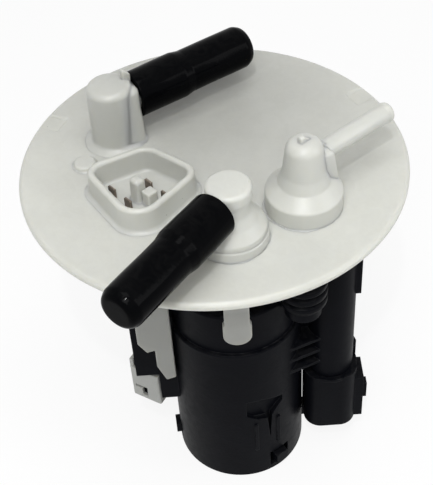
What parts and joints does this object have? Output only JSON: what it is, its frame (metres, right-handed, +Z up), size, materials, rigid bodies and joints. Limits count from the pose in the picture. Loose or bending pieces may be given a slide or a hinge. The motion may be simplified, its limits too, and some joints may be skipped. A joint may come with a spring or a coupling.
{
  "type": "in-tank fuel filter",
  "caption": "Round white tank flange with capped and open pipe towers and a plug socket, carrying a black filter canister, regulator column and side plug below.",
  "frame": {"origin": "centre of the flange's underside sealing land", "axes": "+Z up out of the tank, along the flange's axis; -Y towards the side where the canister hangs; +X towards the regulator column"},
  "size_m": [0.12, 0.1361, 0.1264],
  "materials": {
    "white_plastic": "satin, slightly translucent moulded acetal",
    "black_plastic": "satin moulded nylon",
    "hose_plastic": "satin corrugated nylon",
    "cap_rubber": "smooth dipped vinyl, semi-gloss",
    "seal_rubber": "matt",
    "contact": "tinned, dull",
    "inner_plastic": "satin",
    "media": "matt resin-treated paper",
    "steel": "drawn and plated"
  },
  "bodies": {
    "unit": {"flange": "white_plastic", "outlet_tower": "white_plastic", "vent_tower": "white_plastic", "terminal_a": "contact", "terminal_b": "contact", "terminal_c": "contact", "terminal_d": "contact", "canister": "black_plastic", "canister_lid": "black_plastic", "element_cap_upper": "inner_plastic", "element_cap_lower": "inner_plastic", "element_ring": "seal_rubber", "filter_media": "media", "core_tube": "inner_plastic", "corrugated_hose": "hose_plastic", "regulator_retainer": "black_plastic", "regulator_bonnet": "steel", "regulator_diaphragm": "seal_rubber", "regulator_base": "steel", "regulator_spring": "steel", "regulator_seal": "seal_rubber", "side_plug": "black_plastic", "plug_cover": "white_plastic"},
    "rear_cap": {"rear_cap": "cap_rubber"},
    "front_cap": {"front_cap": "cap_rubber"},
    "valve": {"regulator_valve": "steel"}
  },
  "joints": [
    {"name": "rear_cap_pull", "type": "slide", "parent": "unit", "child": "rear_cap", "axis": [0.8462, 0.5329, 0], "range_m": [0, 0.03]},
    {"name": "front_cap_pull", "type": "slide", "parent": "unit", "child": "front_cap", "axis": [-0.6143, -0.7891, 0], "range_m": [0, 0.03]},
    {"name": "valve_lift", "type": "slide", "parent": "unit", "child": "valve", "axis": [0, 0, 1], "range_m": [0, 0.0008], "stiffness_N_per_m": 400, "springref_m": -0.002, "deforming": ["regulator_spring"]}
  ]
}
